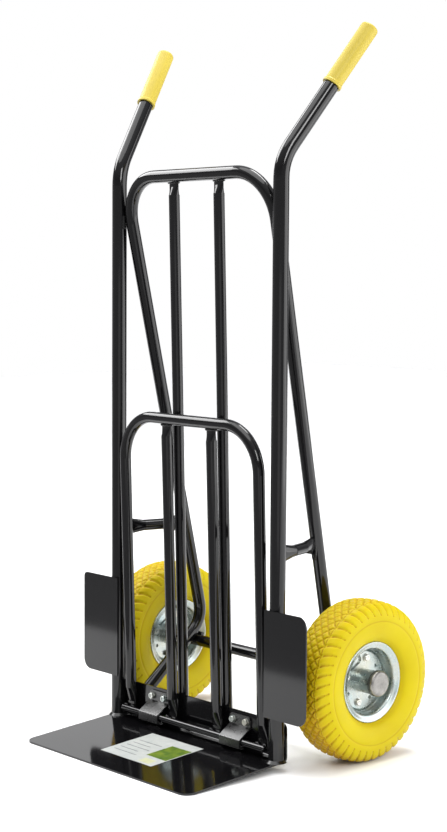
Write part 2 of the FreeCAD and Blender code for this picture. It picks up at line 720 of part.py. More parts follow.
def rim_bolts():
    bolts, nuts = [], []
    face = RIM_SHEET + HUB_PLATE_T
    for k in range(RIM_BOLT_COUNT):
        turn = RIM_BOLT_START + k * 2 * math.pi / RIM_BOLT_COUNT
        y, z = RIM_BOLT_R * math.cos(turn), RIM_BOLT_R * math.sin(turn)
        bolt = hex_bolt(V(face, y, z), V(-1, 0, 0), 10.0, 4.0, RIM_BOLT_D, 2 * face + 7.0)
        bolt = bolt.fuse(along_x(face, face + 1.2, 6.6, y, z)).removeSplitter()
        bolts.append(bolt)
        nut = hex_along(V(-face, y, z), V(-face - 5.0, y, z), 10.0)
        nuts.append(nut.cut(along_x(-face - 9, -face + 1, RIM_BOLT_D / 2, y, z)))
    return Part.makeCompound(bolts), Part.makeCompound(nuts)


def tyre():
    """Solid foam tyre: seat on the rim, bulged sidewalls, rounded shoulders and crown."""
    w, bed, lip = RIM_HALF_WIDTH, RIM_BED_R, RIM_FLANGE_R
    gap = 0.15
    side, crown = TYRE_HALF_WIDTH, TYRE_OD / 2
    seat = [(0, bed + gap), (w - 10.0, bed + 1.0 + gap), (w - 6.0 - gap, bed + 4.0 + gap),
            (w - 4.5 - gap, lip - 3.0), (w - 2.5 - gap, lip + gap), (w + 0.6, lip + 0.4)]
    arcs = [((w + 0.6, lip + 0.4), (side - 2.2, lip + 12.0), (side, lip + 28.0)),
            ((side, lip + 28.0), (side - 0.6, lip + 43.5), (side - 5.0, crown - 10.5)),
            ((side - 5.0, crown - 10.5), (side - 11.0, crown - 4.2), (side - 20.0, crown - 1.2))]

    def point(p, sign):
        return V(sign * p[0], 0, p[1])

    edges = []
    for sign in (1, -1):
        for a, b in zip(seat, seat[1:]):
            edges.append(Part.LineSegment(point(a, sign), point(b, sign)).toShape())
        for a, b, c in arcs:
            edges.append(Part.Arc(point(a, sign), point(b, sign), point(c, sign)).toShape())
    last = arcs[-1][2]
    edges.append(Part.Arc(point(last, 1), V(0, 0, crown), point(last, -1)).toShape())
    ordered = Part.__sortEdges__(edges)
    return revolve_edges(ordered)


def wheel_pieces():
    """Pieces of one wheel about the X axis, outer side towards +X."""
    bolts, nuts = rim_bolts()
    return {
        "tyre": tyre(),
        "rim_outer_half": rim_half(),
        "rim_inner_half": mirrored(rim_half()),
        "hub_tube": hub_tube(),
        "hub_plate_outer": hub_plate(),
        "hub_plate_inner": mirrored(hub_plate()),
        "bearings": bearings(),
        "rim_bolts": bolts,
        "rim_nuts": nuts,
    }


# ---- label --------------------------------------------------------------------------
def toe_label():
    lift = 0.02

    def top(y, extra):
        return V(0, y, plate_top(y) + extra)

    outline = [(LABEL_FRONT_Y, top(LABEL_FRONT_Y, lift).z),
               (LABEL_BACK_Y, top(LABEL_BACK_Y, lift).z),
               (LABEL_BACK_Y, top(LABEL_BACK_Y, lift + LABEL_T).z),
               (LABEL_FRONT_Y, top(LABEL_FRONT_Y, lift + LABEL_T).z)]
    return extrude_x(outline, -LABEL_HALF_WIDTH, LABEL_HALF_WIDTH)


# ---- assembly -----------------------------------------------------------------------
def pair(name, right, left=None):
    CAD["right_" + name] = right
    CAD["left_" + name] = left if left is not None else mirrored(right)


def build():
    plate = toe_plate()
    right_upright = upright(plate)
    solid_upright = rod(upright_axis(0.0), upright_axis(HANDLE_BEND_Z - 30), UPRIGHT_OD / 2)
    loop_full = sweep(loop_wire(), LOOP_OD / 2)
    shaft = axle()
    CAD["toe_plate"] = plate
    pair("upright", right_upright)
    pair("grip", grip())
    CAD["back_loop"] = back_loop()
    pair("inner_bar", inner_bar(loop_full))
    pair("brace", brace(solid_upright, loop_full))
    pair("wheel_guard", wheel_guard(GUARD_CORNER_R), mirrored(wheel_guard(GUARD_CORNER_SMALL_R)))
    pair("hinge_bracket", hinge_bracket())
    CAD["bracket_bolts"], CAD["bracket_washers"], CAD["bracket_nuts"] = bracket_fasteners()
    CAD["axle"] = shaft
    pair("axle_cap", axle_cap())
    pair("axle_washer", inner_washer())
    pair("split_pin", split_pin())
    CAD["frame_welds"] = frame_welds(plate, solid_upright, loop_full, shaft)
    CAD["toe_label"] = toe_label()

    hoop = fold_hoop()
    hoop_top = along_x(-FOLD_X + FOLD_CORNER_R, FOLD_X - FOLD_CORNER_R, FOLD_OD / 2,
                       FOLD_TOP_Y, FOLD_TOP_Z)
    CAD["fold_hoop"] = hoop
    right_bar = fold_bar(hoop_top)
    CAD["right_fold_bar"] = right_bar
    CAD["left_fold_bar"] = mirrored(right_bar)
    CAD["hinge_rod"] = hinge_rod()
    CAD["fold_welds"] = fold_welds()

    for name, shape in wheel_pieces().items():
        right = shape.copy()
        right.translate(V(WHEEL_X, AXLE_Y, AXLE_Z))
        pair(name, right)


build()
os.makedirs("parts", exist_ok=True)
for name, shape in CAD.items():
    for solid in shape.Solids:
        assert solid.isValid(), name
    shape.translate(V(0, -FOOTPRINT_MIDDLE_Y, 0))
    shape.exportStep("parts/%s.step" % name)
    print("%-22s solids %2d  volume %10.0f mm3" % (name, len(shape.Solids), shape.Volume))
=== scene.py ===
"""Looks of the hand truck: tyres, rims, label, weld beads, materials, light and camera."""

import json
import math

import bmesh
import bpy
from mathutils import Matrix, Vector

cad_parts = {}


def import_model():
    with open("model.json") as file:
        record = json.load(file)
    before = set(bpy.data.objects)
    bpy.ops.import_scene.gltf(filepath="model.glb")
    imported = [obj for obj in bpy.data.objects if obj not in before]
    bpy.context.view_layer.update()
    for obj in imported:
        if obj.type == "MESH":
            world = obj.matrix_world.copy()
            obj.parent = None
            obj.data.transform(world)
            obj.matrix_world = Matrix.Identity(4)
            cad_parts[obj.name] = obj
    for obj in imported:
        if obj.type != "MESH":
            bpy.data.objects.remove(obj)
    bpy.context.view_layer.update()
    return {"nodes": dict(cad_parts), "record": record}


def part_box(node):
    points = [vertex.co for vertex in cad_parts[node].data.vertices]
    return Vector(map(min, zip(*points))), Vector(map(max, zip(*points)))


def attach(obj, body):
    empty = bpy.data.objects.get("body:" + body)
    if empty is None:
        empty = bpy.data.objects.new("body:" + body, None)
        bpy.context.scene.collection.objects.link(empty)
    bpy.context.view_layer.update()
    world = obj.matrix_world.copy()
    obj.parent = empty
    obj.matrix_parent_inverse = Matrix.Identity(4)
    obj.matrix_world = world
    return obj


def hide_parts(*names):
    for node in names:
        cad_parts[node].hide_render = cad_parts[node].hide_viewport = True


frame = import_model()
MM = 0.001
SIDES = {"left": -1, "right": 1}


# ---- places taken from the frame ----------------------------------------------------
def centre(node):
    """Middle of a CAD node's box at rest."""
    low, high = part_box(node)
    return (low + high) / 2


def size(node):
    """Lengths of a CAD node's box at rest."""
    low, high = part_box(node)
    return high - low


# ---- node helpers -------------------------------------------------------------------
class Mat:
    """A principled material with short calls for its node tree."""

    def __init__(self, name, **sockets):
        self.mat = bpy.data.materials.new(name)
        self.mat.use_nodes = True
        self.nodes = self.mat.node_tree.nodes
        self.links = self.mat.node_tree.links
        self.bsdf = self.nodes["Principled BSDF"]
        for socket, value in sockets.items():
            self.bsdf.inputs[socket.replace("_", " ")].default_value = value

    def node(self, kind, **settings):
        n = self.nodes.new(kind)
        for key, value in settings.items():
            setattr(n, key, value)
        return n

    def link(self, a, b):
        self.links.new(a, b)

    def place(self):
        """Object coordinates, made once for each material."""
        if not hasattr(self, "coords"):
            self.coords = self.node("ShaderNodeTexCoord").outputs["Object"]
        return self.coords

    def noise(self, scale, detail=3.0, roughness=0.5):
        n = self.node("ShaderNodeTexNoise")
        n.inputs["Scale"].default_value = scale
        n.inputs["Detail"].default_value = detail
        n.inputs["Roughness"].default_value = roughness
        self.link(self.place(), n.inputs["Vector"])
        return n.outputs["Fac"]

    def ramp(self, source, stops):
        """Colour ramp; each stop is (position, colour or grey value)."""
        n = self.node("ShaderNodeValToRGB")
        n.color_ramp.elements[0].position = stops[0][0]
        n.color_ramp.elements[1].position = stops[-1][0]
        for position, _ in stops[1:-1]:
            n.color_ramp.elements.new(position)
        for element, (_, colour) in zip(n.color_ramp.elements, stops):
            if isinstance(colour, (int, float)):
                colour = (colour, colour, colour)
            element.color = (*colour, 1.0)
        self.link(source, n.inputs["Fac"])
        return n.outputs["Color"]

    def mix(self, fac, a, b):
        """Colour a where fac is 0 and b where it is 1."""
        n = self.node("ShaderNodeMix", data_type="RGBA")
        for socket, value in (("Factor", fac), ("A", a), ("B", b)):
            target = [i for i in n.inputs if i.name == socket and i.enabled][0]
            if hasattr(value, "is_linked"):
                self.link(value, target)
            elif socket == "Factor":
                target.default_value = value
            else:
                target.default_value = (*value, 1.0)
        return [o for o in n.outputs if o.enabled][0]

    def maths(self, operation, a, b=None):
        n = self.node("ShaderNodeMath", operation=operation)
        for socket, value in zip(n.inputs, (a, b)):
            if value is None:
                continue
            if hasattr(value, "is_linked"):
                self.link(value, socket)
            else:
                socket.default_value = value
        return n.outputs[0]

    def bump(self, height, strength, distance, normal=None):
        n = self.node("ShaderNodeBump")
        n.inputs["Strength"].default_value = strength
        n.inputs["Distance"].default_value = distance
        self.link(height, n.inputs["Height"])
        if normal is not None:
            self.link(normal, n.inputs["Normal"])
        return n.outputs["Normal"]

    def to(self, socket, source):
        """Link a source to a socket of the shader; returns the material helper."""
        self.link(source, self.bsdf.inputs[socket])
        return self


# ---- materials ----------------------------------------------------------------------
def black_paint():
    """Gloss black stove enamel: faint orange peel, fine dust and a few pale rub marks."""
    m = Mat("black_paint", IOR=1.5, Specular_IOR_Level=0.45)
    cloud = m.noise(6.0, 4.0)
    base = m.ramp(cloud, [(0.35, (0.0030, 0.0029, 0.0034)), (0.70, (0.0042, 0.0041, 0.0045))])
    specks = m.ramp(m.noise(230.0, 5.0, 0.62), [(0.72, 0.0), (0.88, 0.25)])
    m.to("Base Color", m.mix(specks, base, (0.022, 0.021, 0.020)))
    m.to("Roughness", m.ramp(m.noise(5.0, 3.0, 0.5), [(0.30, 0.075), (0.75, 0.105)]))
    return m.to("Normal", m.bump(m.noise(120.0, 1.0, 0.3), 0.03, 0.00012)).mat


def satin_paint():
    """Satin black on the folded brackets, rubbed a little grey by handling."""
    m = Mat("satin_paint", IOR=1.5, Specular_IOR_Level=1.0)
    m.to("Base Color", m.ramp(m.noise(40.0, 4.0), [(0.3, 0.0045), (0.75, 0.0090)]))
    m.to("Roughness", m.ramp(m.noise(90.0, 3.0), [(0.3, 0.25), (0.75, 0.33)]))
    return m.to("Normal", m.bump(m.noise(600.0, 2.0), 0.06, 0.0002)).mat


def weld_paint():
    """Black paint over the ripples of a weld bead."""
    m = Mat("weld_paint", IOR=1.5, Specular_IOR_Level=0.40)
    m.to("Base Color", m.ramp(m.noise(120.0, 3.0), [(0.3, 0.004), (0.75, 0.010)]))
    m.to("Roughness", m.ramp(m.noise(200.0, 3.0), [(0.3, 0.12), (0.8, 0.24)]))
    return m.to("Normal", m.bump(m.noise(420.0, 3.0), 0.25, 0.0005)).mat


def yellow_grip():
    """Moulded soft grip: satin yellow, fine mould texture, slight grime in patches."""
    m = Mat("yellow_grip", IOR=1.46, Specular_IOR_Level=0.40)
    base = m.ramp(m.noise(16.0, 3.0),
                  [(0.35, (0.53, 0.410, 0.045)), (0.72, (0.56, 0.440, 0.060))])
    grime = m.ramp(m.noise(90.0, 5.0, 0.6), [(0.66, 0.0), (0.92, 0.15)])
    m.to("Base Color", m.mix(grime, base, (0.44, 0.31, 0.04)))
    m.to("Roughness", m.ramp(m.noise(60.0, 3.0), [(0.3, 0.40), (0.8, 0.52)]))
    return m.to("Normal", m.bump(m.noise(700.0, 2.0), 0.08, 0.00025)).mat


def yellow_tyre():
    """Polyurethane foam: satin skin, pale edges, painted shade as darker orange on the crown
    towards the bottom, and painted shade as brown in the grooves.
    """
    m = Mat("yellow_tyre", IOR=1.45, Specular_IOR_Level=0.16,
            Subsurface_Weight=0.12, Subsurface_Scale=0.006)
    m.bsdf.inputs["Subsurface Radius"].default_value = (1.0, 0.35, 0.05)
    base = m.ramp(m.noise(12.0, 4.0, 0.55),
                  [(0.32, (0.48, 0.375, 0.0015)), (0.72, (0.54, 0.440, 0.0030))])
    split = m.node("ShaderNodeSeparateXYZ")
    m.link(m.place(), split.inputs["Vector"])
    aside = m.maths("SUBTRACT", m.maths("ABSOLUTE", split.outputs["X"]), centre("right_tyre").x)
    crown = m.ramp(m.maths("ABSOLUTE", aside), [(0.018, 0.90), (0.036, 0.0)])
    # painted shade: the crown turns darker orange towards the bottom of the wheel
    painted_shade_low = m.ramp(split.outputs["Z"], [(0.04, 1.0), (0.20, 0.30)])
    base = m.mix(m.maths("MULTIPLY", crown, painted_shade_low), base, (0.44, 0.245, 0.0008))
    lie = m.node("ShaderNodeNewGeometry").outputs["Pointiness"]     # low in grooves, high on edges
    # painted shade: brown in the grooves, where Pointiness is low
    base = m.mix(m.ramp(lie, [(0.440, 1.0), (0.498, 0.0)]), base, (0.26, 0.085, 0.001))
    base = m.mix(m.ramp(lie, [(0.515, 0.0), (0.585, 0.35)]), base, (0.74, 0.60, 0.08))
    m.to("Base Color", base)
    m.to("Roughness", m.ramp(m.noise(50.0, 4.0), [(0.3, 0.38), (0.8, 0.54)]))
    fine = m.bump(m.noise(900.0, 2.0), 0.10, 0.0002)
    return m.to("Normal", m.bump(m.noise(35.0, 3.0), 0.10, 0.001, fine)).mat


def zinc(name="zinc_rim", tint=(0.405, 0.435, 0.415), rough=(0.22, 0.36)):
    """Bright zinc plate: faint iridescent clouds, spangle and stains."""
    m = Mat(name, Metallic=1.0)
    warm = tuple(c * f for c, f in zip(tint, (1.10, 1.03, 0.90)))
    cool = tuple(c * f for c, f in zip(tint, (0.88, 1.0, 1.04)))
    base = m.ramp(m.noise(30.0, 4.0, 0.6), [(0.32, cool), (0.52, tint), (0.72, warm)])
    stain = m.ramp(m.noise(150.0, 5.0, 0.65), [(0.60, 0.0), (0.82, 0.4)])
    m.to("Base Color", m.mix(stain, base, tuple(c * 0.6 for c in tint)))
    m.to("Roughness", m.ramp(m.noise(70.0, 4.0), [(0.3, rough[0]), (0.75, rough[1])]))
    return m.to("Normal", m.bump(m.noise(500.0, 3.0), 0.08, 0.0002)).mat


def bright_cap():
    """Plated push-on cap with tooling scratches in all directions."""
    m = Mat("bright_cap", Metallic=1.0)
    wave = m.node("ShaderNodeTexWave", bands_direction="DIAGONAL")
    wave.inputs["Scale"].default_value = 130.0
    wave.inputs["Distortion"].default_value = 22.0
    wave.inputs["Detail"].default_value = 4.0
    wave.inputs["Detail Scale"].default_value = 2.5
    m.link(m.place(), wave.inputs["Vector"])
    scratches = wave.outputs["Fac"]
    base = m.ramp(m.noise(70.0, 4.0), [(0.3, (0.19, 0.185, 0.175)), (0.7, (0.31, 0.30, 0.285))])
    base = m.mix(m.ramp(scratches, [(0.72, 0.0), (0.95, 0.5)]), base, (0.15, 0.14, 0.13))
    m.to("Base Color", base)
    m.to("Roughness", m.ramp(scratches, [(0.2, 0.20), (0.9, 0.38)]))
    return m.to("Normal", m.bump(scratches, 0.22, 0.0003)).mat


def bearing_steel():
    """Ground steel with fine marks and a film of grease."""
    m = Mat("bearing_steel", Metallic=1.0)
    m.to("Base Color", m.ramp(m.noise(60.0),
                              [(0.3, (0.22, 0.22, 0.22)), (0.75, (0.40, 0.40, 0.38))]))
    m.to("Roughness", m.ramp(m.noise(240.0, 4.0), [(0.3, 0.22), (0.8, 0.45)]))
    return m.to("Normal", m.bump(m.noise(900.0), 0.2, 0.0002)).mat


def paper(name, low, high):
    """Coated paper: soft fibre texture and a little colour variation."""
    m = Mat(name, IOR=1.48, Specular_IOR_Level=0.3)
    m.to("Base Color", m.ramp(m.noise(70.0, 4.0), [(0.3, low), (0.75, high)]))
    m.to("Roughness", m.ramp(m.noise(160.0, 3.0), [(0.3, 0.42), (0.8, 0.55)]))
    return m.to("Normal", m.bump(m.noise(500.0, 4.0), 0.12, 0.0002)).mat


PAINT = black_paint()
SATIN = satin_paint()
WELD = weld_paint()
GRIP = yellow_grip()
TYRE = yellow_tyre()
ZINC = zinc()
FASTENER = zinc("zinc_fastener", (0.58, 0.58, 0.54), (0.22, 0.40))
CAP = bright_cap()
BEARING = bearing_steel()
PAPER = paper("label_paper", (0.35, 0.37, 0.36), (0.43, 0.44, 0.42))
GREEN = paper("label_green", (0.030, 0.085, 0.004), (0.15, 0.20, 0.012))
CREAM = paper("label_cream", (0.40, 0.41, 0.25), (0.48, 0.49, 0.31))
GREY = paper("label_grey", (0.15, 0.16, 0.16), (0.24, 0.25, 0.25))

SLOT_MATERIAL = {
    "black_paint": PAINT,
    "painted_weld": WELD,
    "yellow_grip": GRIP,
    "yellow_tyre": TYRE,
    "zinc_rim": ZINC,
    "zinc_fastener": FASTENER,
    "bearing_steel": BEARING,
    "bright_cap": CAP,
    "paper_label": PAPER,
}
for part in frame["record"]["subparts"]:
    node = frame["nodes"][part["node"]]
    node.data.materials.clear()
    node.data.materials.append(SLOT_MATERIAL[part["material_slot"]])
for side in SIDES:
    frame["nodes"][side + "_hinge_bracket"].data.materials[0] = SATIN


# ---- mesh helpers -------------------------------------------------------------------
def new_piece(name, bm, material, body, nodes=(), angle=35.0):
    """Make a visible piece that rides on a body and stands for the CAD nodes given."""
    mesh = bpy.data.meshes.new(name)
    bmesh.ops.recalc_face_normals(bm, faces=bm.faces)
    bm.to_mesh(mesh)
    bm.free()
    mesh.materials.append(material)
    obj = bpy.data.objects.new(name, mesh)
    bpy.context.scene.collection.objects.link(obj)
    mesh.shade_smooth()
    mesh.set_sharp_from_angle(angle=math.radians(angle))
    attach(obj, body)
    if nodes:
        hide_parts(*nodes)


def polar(x, r, turn, hub):
    """Point at x along the axle, r from it, at an angle measured about it."""
    return Vector((hub.x + x, hub.y + r * math.cos(turn), hub.z + r * math.sin(turn)))


# ---- sections turned about the axle -------------------------------------------------
def catmull(points, per):
    """Points on a smooth curve through the given ones, per of them for each span."""
    start = tuple(2 * a - b for a, b in zip(points[0], points[1]))
    stop = tuple(2 * a - b for a, b in zip(points[-1], points[-2]))
    ext = [start] + list(points) + [stop]
    out = []
    for i in range(1, len(ext) - 2):
        p0, p1, p2, p3 = ext[i - 1:i + 3]
        for k in range(per):
            t = k / per
            out.append(tuple(
                0.5 * (2 * b + (c - a) * t + (2 * a - 5 * b + 4 * c - d) * t * t
                       + (3 * b - a - 3 * c + d) * t ** 3)
                for a, b, c, d in zip(p0, p1, p2, p3)))
    out.append(tuple(points[-1]))
    return out


def join_rows(bm, rows):
    """Faces between closed rows of points that go once round the axle."""
    for a, b in zip(rows, rows[1:] + rows[:1]):
        for i in range(len(a)):
            k = (i + 1) % len(a)
            bm.faces.new((a[i], a[k], b[k], b[i]))


# ---- tyres --------------------------------------------------------------------------
# Lengths along the tread are in pitches and lengths across it in shares of the half width of
# the tyre. The width of a groove is from its middle to its edge, and its depth a share of GROOVE.
PITCHES = 46                 # tread pitches round the tyre
PITCH_STEPS = 12             # mesh steps in one pitch
SPAN_STEPS = 9               # mesh steps between two points of the section
GROOVE = 2.0 * MM            # depth of a lattice groove
GROOVE_WALL = 2.2            # steepness of the groove walls
CROWN_SHARE = 0.62           # share of the half width that has the lattice of blocks
LATTICE_LEAN = 2.6           # how far a lattice groove leans over the half width
LATTICE_WIDTH = 0.15
ROUND_WIDTH = 0.10           # grooves that run round the tyre
ROUND_DEPTH = 0.8
LUG_REACH = 22.0 * MM        # how far the shoulder grooves come down the side
LUG_TOP = 13.0 * MM          # above this they are wider
LUG_TOP_WIDTH = 0.20
LUG_WIDTH = 0.15
LUG_DEPTH = 1.2
LUG_BEND = 1.6               # how far a shoulder groove leans over the half width
LUG_FADE = 0.05              # the way from the crown to their full depth
LUG_FOOT = 2.5 * MM          # the way from their foot to their full depth
RING_BELOW = 31.0 * MM       # the moulded ring line, below the crown
RING_DEPTH = 0.8 * MM
RING_WIDTH = 1.2 * MM
SEAT = ((0.45, 11.0 * MM), (0.55, 3.0 * MM))   # in the rim: share of the half width, depth


def tyre_section(tyre_r, half_width, rim_r):
    """Half section from the rim to the crown, as (x, r)."""
    shoulder = half_width - 5.0 * MM
    return catmull([
        (half_width - 12.4 * MM, rim_r + 0.2 * MM),
        (half_width - 9.8 * MM, rim_r + 2.4 * MM),
        (half_width - 5.2 * MM, rim_r + 8.0 * MM),
        (half_width - 1.8 * MM, rim_r + 17.0 * MM),
        (half_width, rim_r + 29.0 * MM),
        (half_width - 0.6 * MM, rim_r + 42.0 * MM),
        (shoulder, tyre_r - 11.5 * MM),
        (shoulder - 6.5 * MM, tyre_r - 4.6 * MM),
        (shoulder - 16.0 * MM, tyre_r - 1.4 * MM),
        (0.0, tyre_r),
    ], SPAN_STEPS)


def notch(value, width):
    """1 in the middle of a groove, at whole values, 0 past its width, with sloping walls."""
    off = abs(value - round(value)) / width
    return min(1.0, GROOVE_WALL * (1.0 - off)) if off < 1.0 else 0.0


def groove_depth(x, turn, r, tyre_r, half_width):
    """How deep the tread is cut at a point of the outside, in metres."""
    u = turn / (2 * math.pi) * PITCHES
    lateral = x / half_width
    past_crown = abs(lateral) - CROWN_SHARE
    if past_crown < 0:
        lean = lateral * LATTICE_LEAN
        lattice = max(notch(u + lean, LATTICE_WIDTH), notch(u - lean, LATTICE_WIDTH))
        return GROOVE * max(lattice, ROUND_DEPTH * notch(lean + 0.5, ROUND_WIDTH))
    foot = tyre_r - LUG_REACH
    if r > foot:
        fade = min(1.0, past_crown / LUG_FADE) * min(1.0, (r - foot) / LUG_FOOT)
        bend = u + 0.5 + past_crown * math.copysign(LUG_BEND, x)
        wide = LUG_TOP_WIDTH if r > tyre_r - LUG_TOP else LUG_WIDTH
        return LUG_DEPTH * GROOVE * notch(bend, wide) * fade
    return 0.0


def tyre(side):
    """The whole foam tyre, with its tread, its side rings and its seat in the rim."""
    node = side + "_tyre"
    hub = centre(node)
    dims = size(node)
    tyre_r, half_width = dims.z / 2, dims.x / 2
    rim_r = size(side + "_rim_outer_half").z / 2
    half = tyre_section(tyre_r, half_width, rim_r)
    whole = half + [(-x, r) for x, r in reversed(half[:-1])]
    seat = [(half_width * share, rim_r - depth) for share, depth in SEAT]
    seat = [(-x, r) for x, r in reversed(seat)] + seat
    around = PITCHES * PITCH_STEPS
    bm = bmesh.new()
    rows = []
    for j in range(around):
        turn = 2 * math.pi * j / around
        row = []
        for x, r in whole:
            cut = groove_depth(x, turn, r, tyre_r, half_width)
            line = RING_DEPTH * math.exp(-((r - tyre_r + RING_BELOW) / RING_WIDTH) ** 2)
            row.append(bm.verts.new(polar(x - math.copysign(line, x), r - cut, turn, hub)))
        row += [bm.verts.new(polar(x, r, turn, hub)) for x, r in seat]
        rows.append(row)
    join_rows(bm, rows)
    new_piece(side + "_tyre_tread", bm, TYRE, side + "_wheel", [node], angle=60.0)


# ---- rims ---------------------------------------------------------------------------
RIM_STEPS = 128
RIM_SPAN_STEPS = 5
RIM_SHEET = 1.8 * MM
RIM_GAP = 0.05 * MM          # from the middle plane of the wheel to the back of a half
WEB_FACE = 2.0 * MM          # outer face of the flat web, from the middle plane


def rim_face(rim_r, half_width, bore):
    """Outer face of a rim half, from its rolled edge into the dish and along the web."""
    return (catmull([
        (half_width - 2.8 * MM, rim_r - 0.6 * MM),
        (half_width - 1.2 * MM, rim_r),
        (half_width, rim_r - 1.2 * MM),
        (half_width - 0.6 * MM, rim_r - 3.4 * MM),
        (half_width - 2.2 * MM, rim_r - 7.0 * MM),
        (half_width - 3.4 * MM, rim_r - 10.0 * MM),
        (half_width - 5.5 * MM, rim_r - 12.0 * MM),
        (half_width - 10.0 * MM, rim_r - 13.6 * MM),
        (half_width - 20.0 * MM, rim_r - 14.6 * MM),
        (7.0 * MM, rim_r - 15.2 * MM),
        (3.2 * MM, rim_r - 17.0 * MM),
        (WEB_FACE, rim_r - 20.5 * MM),
        (WEB_FACE, rim_r - 27.0 * MM),
    ], RIM_SPAN_STEPS) + [(WEB_FACE, bore)])


def thickened(face, sheet):
    """Closed outline of a face curve and its copy one sheet behind."""
    back = []
    for i, point in enumerate(face):
        a, b = face[max(i - 1, 0)], face[min(i + 1, len(face) - 1)]
        dx, dr = b[0] - a[0], b[1] - a[1]
        long = math.hypot(dx, dr)
        back.append((point[0] + dr / long * sheet, point[1] - dx / long * sheet))
    return face + back[::-1]


def rim(side, which, mirror):
    """One pressed half of a rim; mirror is the side of the wheel that it is on, along x."""
    node = "%s_rim_%s_half" % (side, which)
    hub = centre(side + "_tyre")
    dims = size(node)
    bore = size(side + "_hub_tube").z / 2
    outline = thickened(rim_face(dims.z / 2, dims.x, bore), RIM_SHEET)
    outline = [(mirror * max(x, RIM_GAP), r) for x, r in outline]
    bm = bmesh.new()
    join_rows(bm, [[bm.verts.new(polar(x, r, 2 * math.pi * j / RIM_STEPS, hub))
                    for x, r in outline] for j in range(RIM_STEPS)])
    new_piece("%s_rim_%s" % (side, which), bm, ZINC, side + "_wheel", [node])


for side, outward in SIDES.items():
    tyre(side)
    rim(side, "outer", outward)
    rim(side, "inner", -outward)


# ---- weld beads ---------------------------------------------------------------------
BEAD_SIDES = 10
RIPPLE_PITCH = 1.6 * MM
RIPPLE_STEPS = 4             # mesh steps in one ripple
RIPPLE_HEIGHT = 0.16         # share of the bead's radius
END_SHARE = 0.35             # radius at the end of an open bead, as a share of the whole
END_STEPS = 4                # mesh steps from an end to the whole radius
ROD_BEAD_TURN = 56.0         # degrees from the back of the hinge rod up to the beads on it
ROD_BEAD_REACH = (4.5 * MM, 12.5 * MM)   # both sides of a folding tube
ROD_BEAD_R = 2.3 * MM
HOOP_INSET = 11.8 * MM       # from the side of the hoop in to the middle of its tube
BAR_BEAD_R = 1.9 * MM
BRACE_BEAD_R = 1.8 * MM
OVAL_POINTS = 28
CRUSHED_HALF = 3.6 * MM      # half thickness of the crushed ends
INNER_BAR_HALF = 11.6 * MM   # half widths of the crushed ends
FOLD_BAR_HALF = 11.4 * MM
BRACE_HALF = 15.4 * MM
BAR_END = 6.0 * MM           # length of the end that a bead is centred on
BRACE_END = 5.0 * MM
BAR_BEAD_DROP = 1.0 * MM


def end_centre(node, axis, sign, depth):
    """Middle of the part of a CAD node that lies within depth of its end along an axis."""
    places = [v.co for v in frame["nodes"][node].data.vertices]
    limit = max(sign * p[axis] for p in places) - depth
    last = [p for p in places if sign * p[axis] >= limit]
    return sum(last, Vector()) / len(last)


def bead(name, path, radius, body, closed=False, nodes=()):
    """Rippled weld bead along a path of points."""
    fine = []
    count = len(path) if closed else len(path) - 1
    for i in range(count):
        a, b = path[i], path[(i + 1) % len(path)]
        steps = max(1, round((b - a).length / (RIPPLE_PITCH / RIPPLE_STEPS)))
        fine += [a.lerp(b, k / steps) for k in range(steps)]
    if not closed:
        fine.append(path[-1])
    bm = bmesh.new()
    rows = []
    run = 0.0
    total = len(fine)
    for i, spot in enumerate(fine):
        before = fine[i - 1] if closed or i else spot
        after = fine[(i + 1) % total] if closed or i < total - 1 else spot
        along = (after - before).normalized()
        side = along.orthogonal().normalized()
        up = along.cross(side)
        run += (spot - fine[i - 1]).length if i else 0.0
        r = radius * (1 + RIPPLE_HEIGHT * abs(math.sin(math.pi * run / RIPPLE_PITCH)))
        if not closed:
            from_end = min(i, total - 1 - i) / END_STEPS
            r *= min(1.0, END_SHARE + (1 - END_SHARE) * from_end)
        rows.append([bm.verts.new(spot + r * (side * math.cos(t) + up * math.sin(t)))
                     for t in (2 * math.pi * k / BEAD_SIDES for k in range(BEAD_SIDES))])
    for i in range(total if closed else total - 1):
        a, b = rows[i], rows[(i + 1) % total]
        shift = 0       # on a closed path the next row may start at another side of the bead
        if closed:
            shift = min(range(BEAD_SIDES), key=lambda k: (b[k].co - a[0].co).length)
        for k in range(BEAD_SIDES):
            n = (k + 1) % BEAD_SIDES
            bm.faces.new((a[k], a[n], b[(n + shift) % BEAD_SIDES], b[(k + shift) % BEAD_SIDES]))
    if not closed:
        bm.faces.new(rows[0][::-1])
        bm.faces.new(rows[-1])
    new_piece(name, bm, WELD, body, nodes)


def oval_bead(name, middle, wide, half_wide, across, radius, body):
    """Closed bead round a crushed tube end, which is CRUSHED_HALF thick to each side."""
    path = [middle + wide * half_wide * math.cos(t) + across * CRUSHED_HALF * math.sin(t)
            for t in (2 * math.pi * k / OVAL_POINTS for k in range(OVAL_POINTS))]
    bead(name, path, radius, body, closed=True)


def rod_beads():
    """Beads along the hinge rod, one on each side of the foot of each folding tube."""
    middle = centre("hinge_rod")
    r = size("hinge_rod").z / 2
    turn = math.radians(ROD_BEAD_TURN)
    y, z = middle.y + r * math.cos(turn), middle.z + r * math.sin(turn)
    hoop_x = size("fold_hoop").x / 2 - HOOP_INSET
    bar_x = centre("right_fold_bar").x
    replaced = ["fold_welds"]       # the first bead stands for the CAD node of them all
    near, far = ROD_BEAD_REACH
    for name, x in (("right_hoop", hoop_x), ("right_bar", bar_x),
                    ("left_bar", -bar_x), ("left_hoop", -hoop_x)):
        for part, (a, b) in {"outer": (-far, -near), "inner": (near, far)}.items():
            path = [Vector((x + t, y, z)) for t in (a, (a + b) / 2, b)]
            bead("%s_rod_bead_%s" % (name, part), path, ROD_BEAD_R, "toe_frame", nodes=replaced)
            replaced = []


